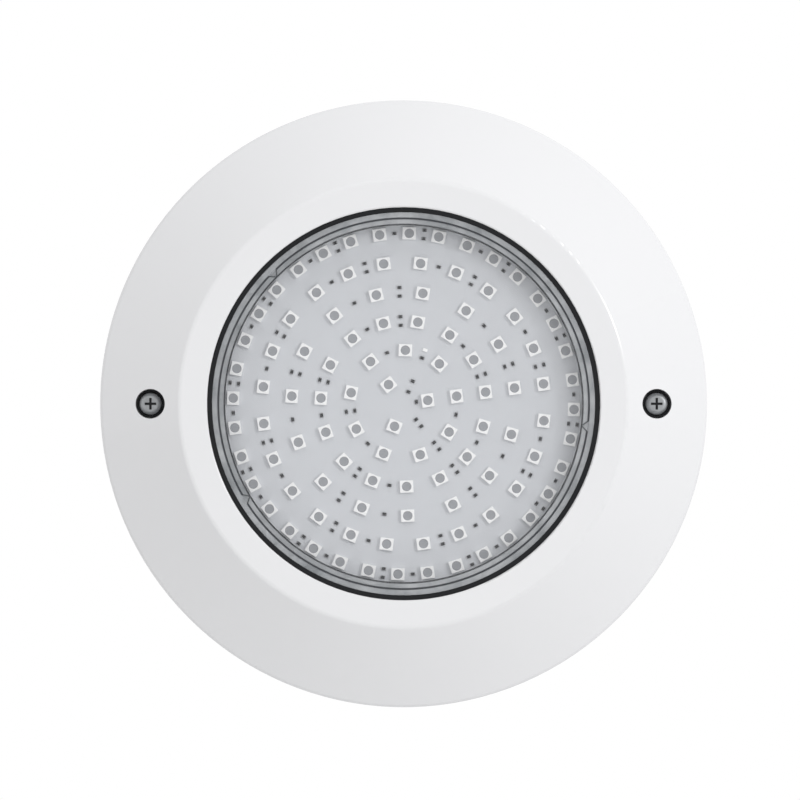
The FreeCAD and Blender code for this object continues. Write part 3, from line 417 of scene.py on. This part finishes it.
# %% Finish the LEDs and resistors
LED_RINGS = range(1, 7)
led_white = skin_material(
    "led_white", (0.92, 0.92, 0.925), (0.88, 0.88, 0.89), 0.35, bump=0.05, Tint_Amount=0.3,
    Wave_Scale=300.0, Grain_Scale=3000.0,
)
led_resin = skin_material(
    "led_resin", (0.33, 0.34, 0.36), (0.29, 0.3, 0.32), 0.2, bump=0.05, Tint_Amount=0.4,
    Wave_Scale=400.0, Grain_Scale=3000.0,
)
chip_black = skin_material("chip_black", (0.015, 0.015, 0.017), (0.03, 0.03, 0.03), 0.5, Wave_Scale=500.0)
solder_tin = skin_material("solder_tin", (0.3, 0.3, 0.31), (0.2, 0.2, 0.21), 0.35, Wave_Scale=700.0)
solder_tin.node_tree.nodes["Principled BSDF"].inputs["Metallic"].default_value = 1.0
chip_white = skin_material("chip_white", (0.95, 0.95, 0.95), (0.9, 0.9, 0.9), 0.4, Wave_Scale=500.0)
dress(led_white, *[f"led_frames_{ring}" for ring in LED_RINGS])
dress(led_resin, *[f"led_windows_{ring}" for ring in LED_RINGS])
dress(chip_black, "resistor_bodies")
dress(solder_tin, "resistor_terminals")
dress(chip_white, "white_chip")
print("LEDs dressed")

# %% [markdown]
# ## The face screws
# Stainless screws that live under water go a dull grey. Their heads keep the circular
# lines of the lathe.

# %% Finish the face screws
HEAD_REST = 0.15 * MM


def screw_steel(side):
    """Dull stainless steel with turning lines about one screw's axis, and painted shade inside the cross
    recess.
    """
    low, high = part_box(f"{side}_screw")
    centre = (low + high) / 2
    settings = {
        "Centre": centre,
        "Line Scale": 2500.0,
        "Color": (0.5, 0.515, 0.525, 1),
        "Line Color": (0.3, 0.31, 0.32, 1),
        "Roughness": 0.35,
    }
    material = grouped_material(f"{side}_steel", TURNED, 0.15, 0.00003, settings, Metallic=0.85)
    tree = material.node_tree
    shader = tree.nodes["Principled BSDF"]
    skin = shader.inputs["Base Color"].links[0].from_socket
    radius, along = radius_from(tree, centre)
    # Painted shade: inside the cross recess, deeper than the head's face, the colour is painted nearly black.
    below = math_node(tree, "SUBTRACT", along, low.y + 4 * HEAD_REST)
    below = math_node(tree, "DIVIDE", below, HEAD_REST, clamp=True)
    inside = math_node(tree, "LESS_THAN", radius, 2.4 * MM)
    amount = math_node(tree, "MULTIPLY", below, inside)
    tree.links.new(mix_colors(tree, amount, skin, (0.03, 0.03, 0.032)), shader.inputs["Base Color"])
    return material


for side in ("left", "right"):
    dress(screw_steel(side), f"{side}_screw")
    smooth(f"{side}_screw")
print("screws dressed")

# %% [markdown]
# ## Pieces behind the ring
# The wall plate, the rear housing and the cable gland show from behind and when the lamp is
# lifted off, and the driver inside shows only when it is taken apart. They get plain
# finishes: matt plastics, brass, steel and green circuit board.

# %% Finish the rest
plate_white = skin_material("plate_white", (0.78, 0.78, 0.78), (0.72, 0.72, 0.72), 0.5, bump=0.2,
                            Tint_Amount=0.4, Wave_Scale=30.0, Grain_Scale=900.0, Grain_Share=0.6)
housing_grey = skin_material("housing_grey", (0.62, 0.63, 0.64), (0.55, 0.56, 0.57), 0.45, bump=0.2,
                             Tint_Amount=0.4, Wave_Scale=40.0, Grain_Scale=900.0, Grain_Share=0.6)
gland_black = skin_material("gland_black", (0.03, 0.031, 0.033), (0.05, 0.051, 0.053), 0.45, bump=0.2,
                            Tint_Amount=0.4, Wave_Scale=80.0, Grain_Scale=1400.0, Grain_Share=0.6)
dress(plate_white, "wall_plate")
dress(housing_grey, "rear_housing")
dress(gland_black, "gland_body", "gland_locknut", "gland_clamp_nut")
smooth("wall_plate", "rear_housing", "gland_body", "gland_locknut", "gland_clamp_nut")


def metal(name, color, line_color, roughness):
    """Bare metal with fine lines about the lamp's axis."""
    settings = {
        "Color": (*color, 1),
        "Line Color": (*line_color, 1),
        "Roughness": roughness,
        "Line Scale": 900.0,
    }
    return grouped_material(name, TURNED, 0.1, 0.00003, settings, Metallic=1.0)


dress(metal("insert_brass", (0.78, 0.58, 0.28), (0.6, 0.42, 0.18), 0.3), "plate_inserts")
dress(metal("spreader_aluminium", (0.8, 0.81, 0.82), (0.68, 0.69, 0.7), 0.35), "heat_spreader")
dress(metal("bright_steel", (0.6, 0.6, 0.61), (0.4, 0.4, 0.41), 0.3), "housing_screws", "driver_screws")
dress(metal("can_aluminium", (0.78, 0.78, 0.79), (0.65, 0.65, 0.66), 0.3), "capacitors")
driver_green = skin_material("driver_green", (0.02, 0.14, 0.06), (0.03, 0.18, 0.08), 0.35)
terminal_green = skin_material("terminal_green", (0.03, 0.2, 0.1), (0.02, 0.15, 0.07), 0.4)
wire_red = skin_material("wire_red", (0.45, 0.02, 0.02), (0.35, 0.015, 0.015), 0.4)
wire_black = skin_material("wire_black", (0.02, 0.02, 0.02), (0.03, 0.03, 0.03), 0.4)
nylon = skin_material("natural_nylon", (0.8, 0.8, 0.76), (0.72, 0.72, 0.68), 0.4)
dress(driver_green, "driver_board")
dress(terminal_green, "terminal_block")
dress(wire_red, "positive_lead")
dress(wire_black, "negative_lead")
dress(nylon, "driver_standoffs")
dress(chip_black, "bridge_rectifiers", "driver_chips", "inductors")
dress(chip_white, "fuse")
print("all pieces dressed")

# %% [markdown]
# ## Floor, world and lamps
# The lamp hangs over a pale floor in an evenly lit studio. The background is white to the camera
# and to reflections, while the light that falls on the object comes from a softer dome: bright
# above, a little darker to the left and darker below, as a room with a floor is.

# %% Floor
FLOOR_DROP = 0.17
FLOOR_SIZE = 6.0
floor_mesh = bpy.data.meshes.new("floor")
half = FLOOR_SIZE / 2
corners = [(-half, -half, 0), (half, -half, 0), (half, half, 0), (-half, half, 0)]
floor_mesh.from_pydata(corners, [], [(0, 1, 2, 3)])
floor = bpy.data.objects.new("floor", floor_mesh)
floor.location.z = ring_low.z - FLOOR_DROP
scene.collection.objects.link(floor)
floor_material = new_material("pale_floor", Roughness=0.6, Base_Color=(0.8, 0.8, 0.8, 1))[0]
floor_mesh.materials.append(floor_material)
print(f"floor {FLOOR_SIZE:.0f} m wide")

# %% [markdown]
# ## The studio dome
# The light's strength is a level plus a pull along one direction, which makes one side brighter.
# A limit stops the brightest part from washing out the white plastic.

# %% World
DOME_LEVEL = 0.67
DOME_PULL = (0.18, -0.28, 0.78)
DOME_MOST = 1.2


def make_world():
    """White to the camera and in reflections; for lighting, a dome, brightest above and right."""
    world = bpy.data.worlds.new("studio")
    scene.world = world
    world.use_nodes = True
    tree = world.node_tree
    tree.nodes.clear()
    output = add_node(tree, "ShaderNodeOutputWorld", "output")
    white = add_node(tree, "ShaderNodeBackground", "white", Color=(1, 1, 1, 1), Strength=1.0)
    dome = add_node(tree, "ShaderNodeBackground", "dome", Strength=1.0)
    direction = add_node(tree, "ShaderNodeTexCoord", "direction").outputs["Generated"]
    pull = add_node(tree, "ShaderNodeVectorMath", "brighter_side", operation="DOT_PRODUCT")
    pull.inputs[1].default_value = DOME_PULL
    tree.links.new(direction, pull.inputs[0])
    level = math_node(tree, "ADD", pull.outputs["Value"], DOME_LEVEL)
    tree.links.new(math_node(tree, "MINIMUM", level, DOME_MOST), dome.inputs["Strength"])
    path = add_node(tree, "ShaderNodeLightPath", "path")
    mix = add_node(tree, "ShaderNodeMixShader", "seen_or_light")
    seen = math_node(tree, "MAXIMUM", path.outputs["Is Camera Ray"], path.outputs["Is Glossy Ray"])
    seen = math_node(tree, "MAXIMUM", seen, path.outputs["Is Transmission Ray"])
    tree.links.new(seen, mix.inputs["Fac"])
    tree.links.new(dome.outputs[0], mix.inputs[1])
    tree.links.new(white.outputs[0], mix.inputs[2])
    tree.links.new(mix.outputs[0], output.inputs["Surface"])
    return world


make_world()
print("world made")

# %% [markdown]
# ## The key lamp
# A small lamp far to the right and a little above casts shadows to the left of the LEDs.

# %% Lamps
def area_lamp(name, place, size, power):
    """A square area lamp aimed at the middle of the face."""
    data = bpy.data.lights.new(name, "AREA")
    data.size = size
    data.energy = power
    lamp = bpy.data.objects.new(name, data)
    lamp.location = place
    direction = lamp.location.copy()
    direction.y -= FACE_Y
    lamp.rotation_euler = direction.to_track_quat("Z", "Y").to_euler()
    scene.collection.objects.link(lamp)
    return lamp


area_lamp("key_lamp", (1.5, -1.6, 0.6), 0.25, 11.0)
print("lamps placed")

# %% [markdown]
# ## Finish the lesson

# %% Finish
scene.view_settings.view_transform = "Standard"
